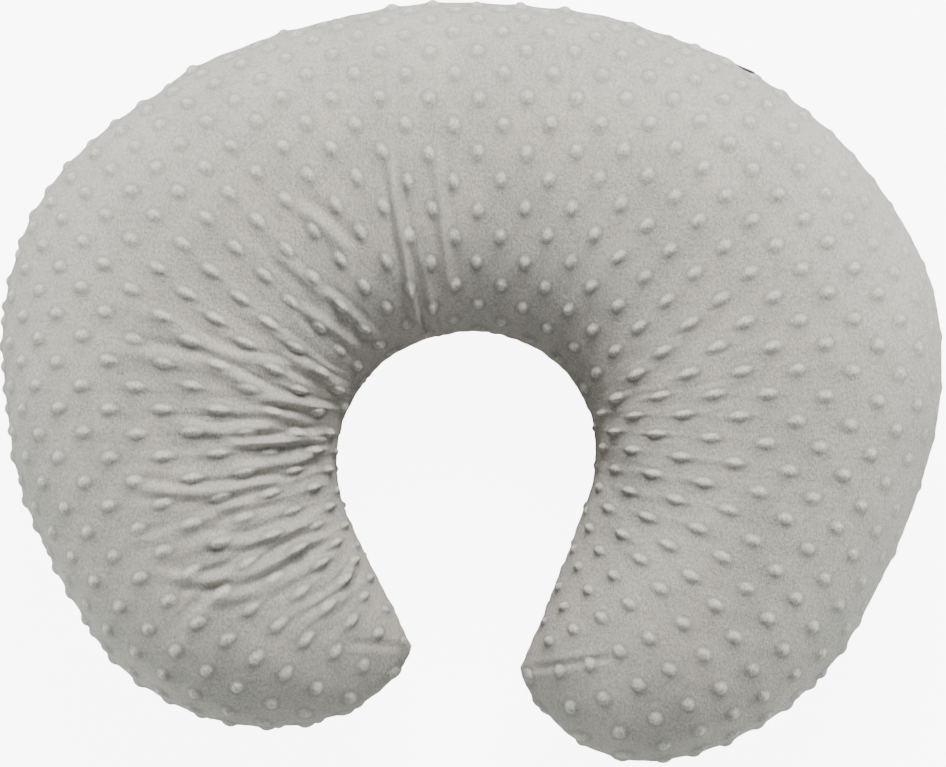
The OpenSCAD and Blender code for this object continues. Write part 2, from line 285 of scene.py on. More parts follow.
def dot_height(look, flat, rib, slack, rim, shift):
    """Height of the raised dots, each with a crease along its rib where the cloth is bunched, and their
    painted light: a painted highlight on each dot's top and painted shade in a ring round it.
    """
    pitch = look.dot_pitch
    height = np.zeros(flat.shape[:2])
    dot_shading_mask = np.zeros(flat.shape[:2])
    place = flat - np.array(shift)
    length = look.dot_width / 2 * (1.12 + 0.5 * slack + 0.25 * rim)
    width = look.dot_width / 2 * (0.98 - 0.05 * slack + 0.25 * rim)
    for half in (0.0, 0.5):
        cell = np.floor(place / pitch - half + 0.5)
        for da in (-1, 0, 1):
            for db in (-1, 0, 1):
                a, b = cell[..., 0] + da, cell[..., 1] + db
                seed = 1 + 2 * half
                nudge = np.stack([scatter(a, b, seed) - 0.5, scatter(a, b, seed + 5) - 0.5], -1)
                centre = np.stack([a, b], -1) + half
                offset = place - centre * pitch - nudge * look.dot_wander
                along = (offset * rib[:, None]).sum(-1)
                across = offset[..., 1] * rib[:, None, 0] - offset[..., 0] * rib[:, None, 1]
                r = np.sqrt((along / length) ** 2 + (across / width) ** 2)
                size = 0.82 + 0.36 * scatter(a, b, seed + 9)
                dome = np.where(r < 1, (1 - np.minimum(r, 1) ** 2.6) ** 1.15, 0)
                ring_shade = bell((r - 1.3) / 0.32)
                lean = 5 * (scatter(a, b, seed + 3) - 0.5)
                crease = bell((along - lean) / (5 + 6 * slack)) * bell((across + 0.05 * (along - lean)) / 1.9)
                skirt = bell(r / 1.65)
                shape = (0.68 - 0.14 * rim) * dome + 0.38 * skirt
                height += look.dot_height * size * (1 - 0.2 * slack) * shape + 0.8 * slack * size * crease
                # Painted light for the material: a painted highlight on each dot's top, painted shade in a
                # ring round it.
                dot_shading_mask += 1.25 * dome**0.8 - 0.8 * ring_shade
    return height, dot_shading_mask


def gather_height(look, s, share, run, up):
    """Gathers that fan out from the hollow where the cloth is bunched; run is the distance round the arm."""
    thick = ramp((-0.35 - s) / 0.07) * ramp((s + 0.9) / 0.1)
    thin = ramp((-0.04 - s) / 0.08) * ramp((s + 0.42) / 0.06)
    right = ramp((s - 0.3) / 0.1) * ramp((0.72 - s) / 0.12)
    strength = (look.slack_left * (thick + 0.38 * thin) + 0.22 * look.slack_right * right)[:, None]
    late = (0.18 * right + 0.08 * thin)[:, None]
    height = np.zeros((len(s), len(share)))
    across = share * 190
    for lane, pitch in ((0, look.gather_pitch), (1, look.gather_pitch * 1.47)):
        nearest = np.rint(run / pitch)
        for shift in (-1, 0, 1):
            k = nearest + shift
            sway = 2.4 * np.sin(across / 17 + 6.28 * scatter(k, 3, lane))
            sway = sway + 1.1 * np.sin(across / 7 + 5 * scatter(k, 4, lane))
            apart = run - k * pitch - 2.6 * (scatter(k, 5, lane) - 0.5) - sway
            start = 0.33 + late + 0.3 * scatter(k, 6, lane)
            stop = 0.95 - 0.24 * scatter(k, 7, lane)
            ends = ramp((share - start) / 0.12) * ramp((stop - share) / 0.12)
            wide = 2.1 + 0.8 * scatter(k, 8, lane)
            rise = (0.45 + 0.75 * scatter(k, 9, lane)) * (1.0 if lane == 0 else 0.6)
            rise = rise * (0.72 + 0.28 * np.sin(across / 5.5 + 6.28 * scatter(k, 2, lane)))
            ridge = bell(apart / wide) - 0.55 * bell((apart - 1.75 * wide) / (0.75 * wide))
            height += rise * ends * ridge
    return look.gather_rise * strength * height * (1 if up else 0.6)


def fold_height(points, up):
    """Height of the long folds over the top face, from the distance of each point to each fold's line."""
    height = np.zeros(points.shape[:2])
    if not up:
        return height
    for a, b, c, rise, width in FOLDS:
        a, b, c = (np.array(p, float) for p in (a, b, c))
        reach = 5 * width
        low = np.minimum(np.minimum(a, b), c) - reach
        high = np.maximum(np.maximum(a, b), c) + reach
        near = np.all((points[..., :2] > low) & (points[..., :2] < high), -1)
        place = points[near][:, :2]
        best = np.full(len(place), 1e9)
        share = np.zeros(len(place))
        side = np.zeros(len(place))
        steps = np.linspace(0, 1, 25)[:, None]
        bent = (1 - steps) ** 2 * a + 2 * steps * (1 - steps) * (2 * b - (a + c) / 2) + steps**2 * c
        for k in range(len(bent) - 1):
            line = bent[k + 1] - bent[k]
            t = np.clip(((place - bent[k]) @ line) / (line @ line), 0, 1)
            apart = place - bent[k] - t[:, None] * line
            far = np.linalg.norm(apart, axis=1)
            closer = far < best
            best = np.where(closer, far, best)
            share = np.where(closer, (k + t) / (len(bent) - 1), share)
            side = np.where(closer, np.sign(line[0] * apart[:, 1] - line[1] * apart[:, 0]), side)
        ends = ramp(share / 0.3) * ramp((1 - share) / 0.22)
        across = side * best / width
        beside = 0.5 * bell((across - 1.7) / 0.9) + 0.35 * bell((across + 1.7) / 0.9)
        height[near] += rise * ends * (bell(across) - beside)
    return height


def stuffing_height(flat):
    """Slow lumps of the fibre under the cloth."""
    x, y = flat[..., 0], flat[..., 1]
    lumps = np.sin(x / 31 + 0.6) * np.sin(y / 27 - 1.1) + 0.7 * np.sin(x / 19 - y / 23 + 2.0)
    return 0.55 * lumps + 0.25 * np.sin(x / 11 + 1.3 * np.sin(y / 17)) * np.sin(y / 13 + 0.4)


def seam_dip(look, flat_edge, run, parted):
    """How far the skin dips towards a seam, with the small puckers that the stitches pull."""
    dip = look.seam_dip * np.exp(-((flat_edge / look.seam_reach) ** 1.3))
    pucker = 0.45 * np.sin(run * 2 * math.pi / 8.5 + 1.2 * np.sin(run / 13)) * np.exp(-flat_edge / 6)
    return (dip * (1 - 0.75 * parted)) - pucker * (1 - parted)


def resample(values, count, axis):
    """Spreads a grid's values smoothly over count points along an axis."""
    values = np.moveaxis(values, axis, 0)
    place = np.linspace(0, len(values) - 1, count)
    first = np.clip(place.astype(int), 0, len(values) - 2)
    t = (place - first)[:, None]
    a, b, c, d = (values[np.clip(first + k, 0, len(values) - 1)] for k in (-1, 0, 1, 2))
    smooth = b + t * (c - a) / 2 + t**2 * (a - 2.5 * b + 2 * c - d / 2) + t**3 * (1.5 * (b - c) + (d - a) / 2)
    return np.moveaxis(smooth, 0, axis)


def settled_cloth(look, up):
    """How far a loosely cut panel buckles off the cushion, from a cloth simulation on a coarse grid."""
    rows, columns, frames = 260, 52, 12
    s = np.linspace(-last_s(0), last_s(0), rows + 1)
    share = np.linspace(0, 1, columns + 1)
    points = section(look, s, share, 0.0, up)
    flat, rib = cut_pattern(s, points, look.cloth_opening)
    mesh, i, j = Piece.grid("settling_cloth", points)
    cloth = bpy.data.objects.new("settling_cloth", mesh)
    bpy.context.scene.collection.objects.link(cloth)
    cloth.shape_key_add(name="sewn")
    cut = cloth.shape_key_add(name="cut")
    cut.data.foreach_set("co", (np.append(flat, np.zeros(flat.shape[:2] + (1,)), -1)[i, j] * MM).ravel())
    held = cloth.vertex_groups.new(name="seams")
    border = (i == 0) | (i == rows) | (j == 0) | (j == columns)
    held.add(np.flatnonzero(border).tolist(), 1.0, "REPLACE")
    modifier = cloth.modifiers.new("cloth", "CLOTH")
    settings = modifier.settings
    settings.quality = 6
    settings.mass = 0.01
    settings.tension_stiffness = settings.compression_stiffness = settings.shear_stiffness = 5
    settings.bending_stiffness = look.cloth_bending
    settings.bending_model = "ANGULAR"
    settings.air_damping = 0
    settings.vertex_group_mass = "seams"
    settings.effector_weights.gravity = 0
    settings.rest_shape_key = cut
    modifier.collision_settings.use_collision = False
    modifier.point_cache.frame_end = frames
    for step in range(1, frames + 1):
        bpy.context.scene.frame_set(step)
    moved = cloth.evaluated_get(bpy.context.evaluated_depsgraph_get()).to_mesh()
    place = np.empty(len(moved.vertices) * 3)
    moved.vertices.foreach_get("co", place)
    settled = np.zeros(points.shape)
    settled[i, j] = place.reshape(-1, 3) / MM
    bpy.data.objects.remove(cloth)
    bpy.context.scene.frame_set(1)
    rise = ((settled - points) * normals(points, up)).sum(-1)
    rise = np.clip(rise - rise.mean(), -look.cloth_cap, look.cloth_cap)
    smooth = rise.copy()
    smooth[:, 1:-1] = (rise[:, :-2] + 2 * rise[:, 1:-1] + rise[:, 2:]) / 4
    return smooth


def plush_skin(look, rows, columns, up):
    """The outer face of a cover panel as a grid of points, with the dots' painted highlight and painted ring
    shade for the material.
    """
    s = np.linspace(-last_s(0), last_s(0), rows + 1)
    share = np.linspace(0, 1, columns + 1)
    angle = back_angle(s)
    parted = ramp((angle - look.zip_left + 3) / 3) * ramp((look.zip_right + 4.5 - angle) / 3)
    points = section(look, s, share, 0.0, up, parted)
    face = normals(points, up)
    flat, rib = cut_pattern(s, points, look.opening, look.free_turn, look.left_surplus, look.ease)
    slack = slackness(look, s, share)
    width = lengths_across(points)
    total = width[:, -1:]
    runs = [distances(line(s)) for line in (outer_line, inner_line)]
    narrow = ramp(total / 90)
    cloth = resample(resample(settled_cloth(look, up), rows + 1, 0), columns + 1, 1)
    height = stuffing_height(flat if up else flat + 40) * narrow
    height += cloth * (look.cloth_share + 0.5 * slack) * narrow
    middle = points[:, int(0.7 * columns)]
    height += gather_height(look, s, share, distances(middle)[:, None], up)
    height += fold_height(points, up)
    hem = parted * ramp((look.zip_right + 3.0 - angle) / 2)
    height += hem[:, None] * look.hem_rise * bell((width - 5.5) / 3.6)
    height -= parted[:, None] * 0.9 * bell((width - look.stitch_inset) / 0.9)
    height -= seam_dip(look, width, runs[0][:, None], parted[:, None]) * narrow
    height -= seam_dip(look, total - width, runs[1][:, None], 0.0) * narrow
    rim = ramp((48 - width) / 30) * (1 - 0.9 * (ramp((s - 0.24) / 0.08) * ramp((0.7 - s) / 0.08)))[:, None]
    shift = look.dot_shift if up else look.dot_shift_below
    dots, dot_shading_mask = dot_height(look, flat, rib, slack if up else 0.5 * slack, rim, shift)
    edge = ramp((width - 0.8 - 1.4 * parted[:, None]) / 3.4) * ramp((total - width - 3) / 5)
    rubbed = (0.66 * ramp((s - 0.22) / 0.1) * ramp((0.74 - s) / 0.1))[:, None] * ramp((95 - width) / 60)
    height = height + dots * edge * (1 - rubbed) * (0.15 + 0.85 * ramp((total - width - 6) / 22))
    if not up:
        pressed = ramp((14 - points[..., 2]) / 14)
        height = height * (1 - 0.94 * pressed)
    points = points + face * height[..., None]
    points[..., 2] = np.maximum(points[..., 2], 0.0)
    return s, points, dot_shading_mask * edge * (1 - 0.8 * rubbed), parted


def on_skin(up, angle, across):
    """The place on the finished cover at an angle round the zip, so far across from the panel's edge."""
    s, points = SKINS[up]
    side = 1 if angle >= 0 else -1
    place = math.radians(angle) * BACK_RADIUS / arcs_length(OUTER_ARCS[side])
    row = np.interp(place, s, np.arange(len(s)))
    line = points[int(row), :40] * (1 - row % 1) + points[int(row) + 1, :40] * (row % 1)
    run = distances(line)
    return Vector([np.interp(across, run, line[:, k]) for k in range(3)]) * MM


class Piece:
    """Helpers that turn a bmesh into a finished object of the pillow."""

    @staticmethod
    def grid(name, points):
        """A grid of points (rows, columns) as a mesh, with the row and column of each of its vertices."""
        rows, columns = points.shape[0] - 1, points.shape[1] - 1
        bm = bmesh.new()
        bmesh.ops.create_grid(bm, x_segments=columns, y_segments=rows, size=1.0)
        mesh = bpy.data.meshes.new(name)
        bm.to_mesh(mesh)
        bm.free()
        place = np.empty(len(mesh.vertices) * 3)
        mesh.vertices.foreach_get("co", place)
        place = place.reshape(-1, 3)
        j = np.rint((place[:, 0] + 1) / 2 * columns).astype(int)
        i = np.rint((place[:, 1] + 1) / 2 * rows).astype(int)
        mesh.vertices.foreach_set("co", (points[i, j] * MM).ravel())
        mesh.update()
        return mesh, i, j

    @staticmethod
    def finish(name, mesh, material, body, slot, *nodes, smooth=True):
        """Links a mesh as an object that rides on a body and stands for CAD nodes."""
        piece = bpy.data.objects.new(name, mesh)
        bpy.context.scene.collection.objects.link(piece)
        mesh.materials.append(material)
        mesh.polygons.foreach_set("use_smooth", [smooth] * len(mesh.polygons))
        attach(piece, body)
        if nodes:
            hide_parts(*nodes)
        return piece


def closed_sheet(name, ring, dot_shading_mask=None):
    """A closed thin sheet from a grid whose columns go out over the face and back under it."""
    mesh, i, j = Piece.grid(name, ring)
    # Painted light of the dots for the material: a painted highlight on their tops, painted shade in rings
    # round them.
    if dot_shading_mask is not None:
        attribute = mesh.attributes.new("dot", "FLOAT", "POINT")
        attribute.data.foreach_set("value", dot_shading_mask[i, j].astype(np.float32))
    bm = bmesh.new()
    bm.from_mesh(mesh)
    bmesh.ops.remove_doubles(bm, verts=bm.verts, dist=2e-6)
    open_edges = [edge for edge in bm.edges if edge.is_boundary]
    bmesh.ops.holes_fill(bm, edges=open_edges, sides=0)
    bmesh.ops.recalc_face_normals(bm, faces=bm.faces)
    bm.to_mesh(mesh)
    bm.free()
    mesh.update()
    return mesh


def folded_over(face, lining, hem):
    """Columns over the face, round the inner seam's edge, back along the lining and round the other edge."""
    turn_in = [face[:, -1] * (1 - t) + lining[:, -1] * t for t in hem]
    turn_out = [lining[:, 0] * (1 - t) + face[:, 0] * t for t in hem]
    parts = [face, np.stack(turn_in, 1), lining[:, ::-1], np.stack(turn_out, 1), face[:, :1]]
    return np.concatenate(parts, 1)


# Materials


class Value:
    """A node socket that Python's operators can be used on."""

    def __init__(self, tree, socket):
        self.tree = tree
        self.socket = socket

    def math(self, operation, other=None):
        return self.tree.node("ShaderNodeMath", {"operation": operation}, {0: self, 1: other})[0]

    def __add__(self, other):
        return self.math("ADD", other)

    def __sub__(self, other):
        return self.math("SUBTRACT", other)

    def __mul__(self, other):
        return self.math("MULTIPLY", other)

    def __rsub__(self, other):
        return self.tree.node("ShaderNodeMath", {"operation": "SUBTRACT"}, {0: other, 1: self})[0]

    __radd__ = __add__
    __rmul__ = __mul__


class Finish:
    """One procedural material: a Principled shader and the nodes that feed it."""

    def __init__(self, name, **constants):
        self.material = bpy.data.materials.new(name)
        self.material.use_nodes = True
        self.nodes = self.material.node_tree.nodes
        self.links = self.material.node_tree.links
        self.shader = self.nodes["Principled BSDF"]
        for socket, value in constants.items():
            self.shader.inputs[socket.replace("_", " ")].default_value = value

    def node(self, kind, settings=None, values=None):
        """Adds a node, sets it up and fills its sockets; returns its outputs."""
        made = self.nodes.new(kind)
        for key, value in (settings or {}).items():
            if key == "stops":
                for stop, (place, colour) in zip(made.color_ramp.elements, value):
                    stop.position, stop.color = place, colour
            else:
                setattr(made, key, value)
        for key, value in (values or {}).items():
            if isinstance(value, Value):
                self.links.new(value.socket, made.inputs[key])
            elif value is not None:
                made.inputs[key].default_value = value
        return [Value(self, socket) for socket in made.outputs]

    def place(self, scale=1.0, stretch=(1.0, 1.0, 1.0)):
        """Object coordinates, in millimetres when scale is 1."""
        where = self.node("ShaderNodeTexCoord")[3]
        return self.node("ShaderNodeMapping", {}, {0: where, 3: tuple(scale / MM * k for k in stretch)})[0]

    def noise(self, where, scale, detail=2.0, roughness=0.5):
        return self.node("ShaderNodeTexNoise", {}, {0: where, 2: scale, 3: detail, 4: roughness})[0]

    def mix(self, amount, first, second):
        """A colour between two colours."""
        return self.node("ShaderNodeMix", {"data_type": "RGBA"}, {0: amount, 6: first, 7: second})[2]

    def colour(self, value):
        self.links.new(value.socket, self.shader.inputs["Base Color"])

    def rough(self, value):
        self.links.new(value.socket, self.shader.inputs["Roughness"])

    def bump(self, height, strength, distance):
        sockets = {"Height": height, "Strength": strength, "Distance": distance}
        made = self.node("ShaderNodeBump", {}, sockets)[0]
        self.links.new(made.socket, self.shader.inputs["Normal"])


def shade(colour, factor):
    """A colour made lighter or darker, with its alpha kept at 1."""
    return tuple(channel * factor for channel in colour[:3]) + (1.0,)


def plush_finish(look):
    """Short-napped plush: brushed patches, a speckled pile, a painted highlight on the dots' tops and painted
    shade in rings round them.
    """
    finish = Finish(
        "plush", Roughness=0.95, Sheen_Weight=look.sheen, Sheen_Roughness=0.45, Specular_IOR_Level=0.12
    )
    where = finish.place(1.0, (1.0, 0.62, 0.7))
    # The dot attribute is painted light: above 0 a painted highlight on a dot's top, below 0 painted shade in
    # a ring round it.
    dot = finish.node("ShaderNodeAttribute", {"attribute_name": "dot"})[2]
    pile = finish.noise(where, 0.85, 4.0, 0.72)
    fibre = finish.noise(where, 2.4, 3.0, 0.65)
    brushed = finish.noise(where, 0.028, 4.0, 0.62)
    blotch = finish.noise(where, 0.16, 3.0, 0.6)
    patch = (brushed * 0.7 + blotch * 0.3 - 0.38) * 4.2
    base = finish.mix(patch, shade(look.plush_shade, 0.88), shade(look.plush, 1.08))
    speck = ((pile - 0.36) * 3.6).math("MINIMUM", 1.0).math("MAXIMUM", 0.0)
    speckled = finish.mix(speck, shade(look.plush_shade, 0.50), shade(look.plush, 1.46))
    cloth = finish.mix(0.43, base, speckled)
    # Painted shade: the plush darkened in a ring round each dot.
    ring_shaded = finish.mix((dot * -1.0).math("MAXIMUM", 0.0) * 0.6, cloth, shade(look.plush_shade, 0.60))
    # Painted highlight: each dot's top lightened, over the speckled pile.
    light = finish.mix(speck, shade(look.plush_shade, 0.98), shade(look.plush, 1.62))
    finish.colour(finish.mix(dot.math("MAXIMUM", 0.0) * 0.72, ring_shaded, light))
    finish.bump(pile * 1.0 + fibre * 0.4, look.pile_bump, 0.0012)
    return finish.material


def thread_finish(name, colour):
    finish = Finish(name, Roughness=0.6, Sheen_Weight=0.2)
    where = finish.place()
    twist = finish.node("ShaderNodeTexWave", {"bands_direction": "DIAGONAL"}, {0: where, 1: 2.2, 2: 0.6})[1]
    finish.colour(finish.mix(twist, shade(colour, 0.82), shade(colour, 1.08)))
    finish.bump(twist, 0.5, 0.0002)
    return finish.material


def woven_finish(name, colour, pitch, roughness=0.85):
    """A plain weave with threads a pitch apart."""
    finish = Finish(name, Roughness=roughness, Sheen_Weight=0.1)
    where = finish.place(1 / pitch)
    parts = finish.node("ShaderNodeSeparateXYZ", {}, {0: where})
    warp = (parts[0] * math.pi).math("SINE") * (parts[2] * math.pi).math("SINE")
    weft = (parts[1] * math.pi).math("SINE") * (parts[2] * math.pi).math("SINE")
    weave = (warp + weft) * 0.25 + 0.5
    uneven = finish.noise(where, 0.11, 3.0)
    finish.colour(finish.mix(weave * 0.6 + uneven * 0.4, shade(colour, 0.84), shade(colour, 1.07)))
    finish.bump(weave, 0.5, 0.00015)
    return finish.material


def bonded_finish(name, colour):
    """Thermally bonded fabric: small pressed points over tangled fibres."""
    finish = Finish(name, Roughness=0.8)
    where = finish.place()
    cells = finish.node("ShaderNodeTexVoronoi", {}, {0: where, 2: 0.55})[0]
    fibres = finish.noise(where, 0.9, 4.0, 0.7)
    finish.colour(finish.mix(fibres, shade(colour, 0.92), shade(colour, 1.04)))
    finish.bump(cells * 0.7 + fibres * 0.3, 0.4, 0.0003)
    return finish.material


def fibre_finish(name, colour):
    """Loose polyester fibre."""
    finish = Finish(name, Roughness=0.9, Sheen_Weight=0.3, Subsurface_Weight=0.1)
    where = finish.place()
    fibres = finish.noise(where, 0.25, 6.0, 0.75)
    finish.colour(finish.mix(fibres, shade(colour, 0.9), shade(colour, 1.02)))
    finish.bump(fibres, 0.8, 0.002)
    return finish.material


def coil_finish(name, colour):
    finish = Finish(name, Roughness=0.35, Coat_Weight=0.1)
    wear = finish.noise(finish.place(), 0.4, 3.0)
    finish.colour(finish.mix(wear, shade(colour, 0.9), shade(colour, 1.05)))
    finish.rough(wear * 0.2 + 0.28)
    return finish.material


def metal_finish(name, colour):
    """Grey lacquered die-cast metal, rubbed where fingers touch it."""
    finish = Finish(name, Metallic=0.85)
    where = finish.place()
    rubbed = finish.noise(where, 0.5, 4.0, 0.6)
    fine = finish.noise(where, 6.0, 2.0)
    finish.colour(finish.mix(rubbed, shade(colour, 0.8), shade(colour, 1.3)))
    finish.rough(rubbed * 0.25 + 0.22)
    finish.bump(fine, 0.12, 0.0001)
    return finish.material


def floor_finish(look):
    """A pale floor, lifted a little towards white where it is seen directly."""
    finish = Finish("pale_floor", Roughness=0.9, Emission_Strength=look.floor_lift)
    cloud = finish.noise(finish.place(0.01), 1.0, 2.0)
    finish.colour(finish.mix(cloud, shade(look.floor, 0.99), shade(look.floor, 1.0)))
    seen = finish.node("ShaderNodeLightPath")[0]
    lift = finish.mix(seen, (0.0, 0.0, 0.0, 1.0), (1.0, 1.0, 1.0, 1.0))
    finish.links.new(lift.socket, finish.shader.inputs["Emission Color"])
    return finish.material


# Pieces


def back_point(angle, depth, height):
    """A point round the zip's arc: degrees from the middle, depth under the face, height over the seam."""
    radius = BACK_RADIUS - depth
    turn = math.radians(angle)
    return Vector((
        ZIP_CENTRE[0] + radius * math.sin(turn), ZIP_CENTRE[1] + radius * math.cos(turn), SEAM_Z + height
    )) * MM


def back_turn(angle):
    """The turn that puts x along the zip and y out of the cover."""
    return Matrix.Rotation(-math.radians(angle), 4, "Z")


def add_stitch(bm, matrix, length, thickness):
    """One stitch: a soft capsule with its length along the matrix's x."""
    lying = Matrix.Rotation(math.pi / 2, 4, "Y")
    made = bmesh.ops.create_uvsphere(bm, u_segments=7, v_segments=6, radius=0.5, matrix=lying)
    bmesh.ops.scale(bm, vec=(length * MM, thickness * MM, thickness * MM), verts=made["verts"])
    bmesh.ops.transform(bm, matrix=matrix, verts=made["verts"])


def mesh_of(bm, name):
    mesh = bpy.data.meshes.new(name)
    bmesh.ops.recalc_face_normals(bm, faces=bm.faces)
    bm.to_mesh(mesh)
    bm.free()
    return mesh


def wire_mesh(name, lines, radius, resolution=1):
    """Round wires along lists of points, made a mesh."""
    curve = bpy.data.curves.new(name, "CURVE")
    curve.dimensions = "3D"
    curve.bevel_depth = radius * MM
    curve.bevel_resolution = resolution
    curve.use_fill_caps = True
    for points in lines:
        spline = curve.splines.new("POLY")
        spline.points.add(len(points) - 1)
        weighted = np.concatenate([np.array(points), np.ones((len(points), 1))], 1)
        spline.points.foreach_set("co", weighted.ravel())
    holder = bpy.data.objects.new(name, curve)
    bpy.context.scene.collection.objects.link(holder)
    mesh = bpy.data.meshes.new_from_object(holder.evaluated_get(bpy.context.evaluated_depsgraph_get()))
    bpy.data.objects.remove(holder)
    return mesh


def eased_copy(name, node):
    """A copy of a CAD node's mesh with its edges eased by a small bevel."""
    bm = bmesh.new()
    bm.from_mesh(frame["nodes"][node].data)
    bmesh.ops.remove_doubles(bm, verts=bm.verts, dist=1e-6)
    bmesh.ops.dissolve_limit(bm, angle_limit=math.radians(2), verts=bm.verts, edges=bm.edges)
    sharp = [edge for edge in bm.edges if edge.is_manifold and edge.calc_face_angle(0) > math.radians(35)]
    bmesh.ops.bevel(
        bm, geom=sharp, offset=0.00016, offset_type="OFFSET", affect="EDGES", segments=2, profile=0.5,
        clamp_overlap=True, material=-1,
    )
    return mesh_of(bm, name)


class PillowLook(bpy.types.PropertyGroup):
    """Sizes and colours of the pillow. Lengths are in millimetres."""

    top_rise: FloatProperty(
        name="Top rise", description="Rise of the upper half above the seam", default=88.0
    )
    base_drop: FloatProperty(
        name="Base drop", description="Depth of the lower half below the seam", default=79.0
    )
    full_width: FloatProperty(
        name="Full width", description="Half width at which the roll is full", default=75.0
    )
    roundness: FloatProperty(
        name="Roundness", description="Squareness of the rolled section", default=2.2
    )
    seam_gap: FloatProperty(
        name="Seam gap", description="Gap between the panels along the seam", default=0.3
    )
    placket_half: FloatProperty(
        name="Placket", description="Half gap of the cover along the zip", default=5.0
    )
    plush_thickness: FloatProperty(name="Plush", description="Thickness of the plush", default=2.0)
    opening: FloatProperty(
        name="Pattern opening", description="Bend of the flat cut panel as a share of the pillow's",
        subtype="FACTOR", min=0, max=1, default=0.72
    )
    free_turn: FloatVectorProperty(
        name="Free turn", description="Bend that the cut panel shares fully, right and left",
        size=2, default=(1.35, 1.65)
    )
    left_surplus: FloatProperty(
        name="Left surplus", description="Extra cloth cut along the left arm", default=0.05
    )
    ease: FloatVectorProperty(
        name="Ease", description="Cut over sewn, along and across", size=2, default=(1.077, 0.936)
    )
    dot_pitch: FloatProperty(
        name="Dot pitch", description="Distance between dots along a row", default=28.0
    )
    dot_width: FloatProperty(name="Dot width", description="Width of a raised dot", default=6.7)
    dot_height: FloatProperty(name="Dot height", description="Height of a raised dot", default=2.5)
    dot_wander: FloatProperty(
        name="Dot wander", description="How far a dot strays from its place", default=1.6
    )
    dot_shift: FloatVectorProperty(
        name="Dot phase", description="Place of one dot on the panel", size=2, default=(3.2, -21.5)
    )
    dot_shift_below: FloatVectorProperty(
        name="Dot phase below", description="Place of one dot on the lower panel",
        size=2, default=(-3.0, -8.0)
    )
    slack_left: FloatProperty(
        name="Slack left", description="Bunching of the cloth on the left",
        subtype="FACTOR", min=0, max=1, default=1.0
    )
    slack_right: FloatProperty(
        name="Slack right", description="Bunching of the cloth on the right",
        subtype="FACTOR", min=0, max=1, default=0.8
    )
    gather_pitch: FloatProperty(name="Gather pitch", description="Distance between gathers", default=8.4)
    gather_rise: FloatProperty(name="Gather rise", description="Height of the gathers", default=1.7)
    cloth_opening: FloatProperty(
        name="Cloth opening", description="Looseness of the cut for the cloth", default=0.6
    )
    cloth_bending: FloatProperty(
        name="Cloth bending", description="Bending stiffness of the cloth", default=0.03
    )
    cloth_cap: FloatProperty(name="Cloth cap", description="How far the cloth may move", default=3.5)
    cloth_share: FloatProperty(
        name="Cloth share", description="Share of the cloth's buckling kept",
        subtype="FACTOR", min=0, max=1, default=0.13
    )
    hem_rise: FloatProperty(name="Hem", description="Rise of the folded hem beside the zip", default=2.2)
    seam_dip: FloatProperty(name="Seam dip", description="Depth of the valley along a seam", default=1.6)
    seam_reach: FloatProperty(
        name="Seam reach", description="Width of the valley along a seam", default=4.5
    )
    face_rows: IntProperty(name="Rows", description="Grid rows round the pillow", default=1080)
    face_columns: IntProperty(name="Columns", description="Grid columns across a panel", default=216)
    zip_left: FloatProperty(
        name="Zip left", description="Left end of the zip, in degrees", default=-28.0
    )
    zip_right: FloatProperty(
        name="Zip right", description="Closed slider's place, in degrees", default=23.5
    )
    tape_gap: FloatProperty(
        name="Tape gap", description="Tape's edge over the zip's middle", default=0.7
    )
    tape_width: FloatProperty(name="Tape width", description="Width of one tape", default=10.0)
    tape_depth: FloatProperty(name="Tape depth", description="Tape behind the cover's face", default=3.6)
    tape_thickness: FloatProperty(name="Tape thickness", description="Thickness of a tape", default=0.4)
    stitch_inset: FloatProperty(
        name="Stitch inset", description="Topstitching from the cover's edge", default=2.6
    )
    coil_pitch: FloatProperty(name="Coil pitch", description="Distance between coil turns", default=1.3)
    stitch_pitch: FloatProperty(
        name="Stitch pitch", description="Distance between stitches", default=3.2
    )
    plush: FloatVectorProperty(
        name="Plush colour", subtype="COLOR", size=3, default=(0.528, 0.502, 0.455)
    )
    plush_shade: FloatVectorProperty(
        name="Plush shade", subtype="COLOR", size=3, default=(0.462, 0.468, 0.428)
    )
    sheen: FloatProperty(
        name="Sheen", description="Strength of the plush's sheen",
        subtype="FACTOR", min=0, max=1, default=0.12
    )
    pile_bump: FloatProperty(name="Pile", description="Strength of the plush's pile", default=0.8)
    zip_colour: FloatVectorProperty(
        name="Zip colour", subtype="COLOR", size=3, default=(0.33, 0.32, 0.30)
    )
    thread: FloatVectorProperty(
        name="Thread colour", subtype="COLOR", size=3, default=(0.45, 0.44, 0.42)
    )
    metal: FloatVectorProperty(name="Metal colour", subtype="COLOR", size=3, default=(0.11, 0.11, 0.115))
    casing: FloatVectorProperty(
        name="Casing colour", subtype="COLOR", size=3, default=(0.82, 0.82, 0.81)
    )
    label: FloatVectorProperty(name="Label colour", subtype="COLOR", size=3, default=(0.88, 0.88, 0.87))
    key_colour: FloatVectorProperty(
        name="Key light", subtype="COLOR", size=3, default=(1.0, 0.975, 0.94)
    )
    fill_colour: FloatVectorProperty(
        name="Fill light", subtype="COLOR", size=3, default=(0.97, 1.0, 0.985)
    )
    floor_lift: FloatProperty(
        name="Floor lift", description="Extra brightness of the floor where seen", default=8.0
    )
    floor: FloatVectorProperty(name="Floor colour", subtype="COLOR", size=3, default=(0.6, 0.6, 0.6))
    camera_height: FloatProperty(
        name="Camera height", description="Camera's height over the seam, in metres",
        unit="LENGTH", default=2.2
    )
    view_width: FloatProperty(
        name="View width", description="Width the camera sees at the seam, in mm", default=523.0
    )


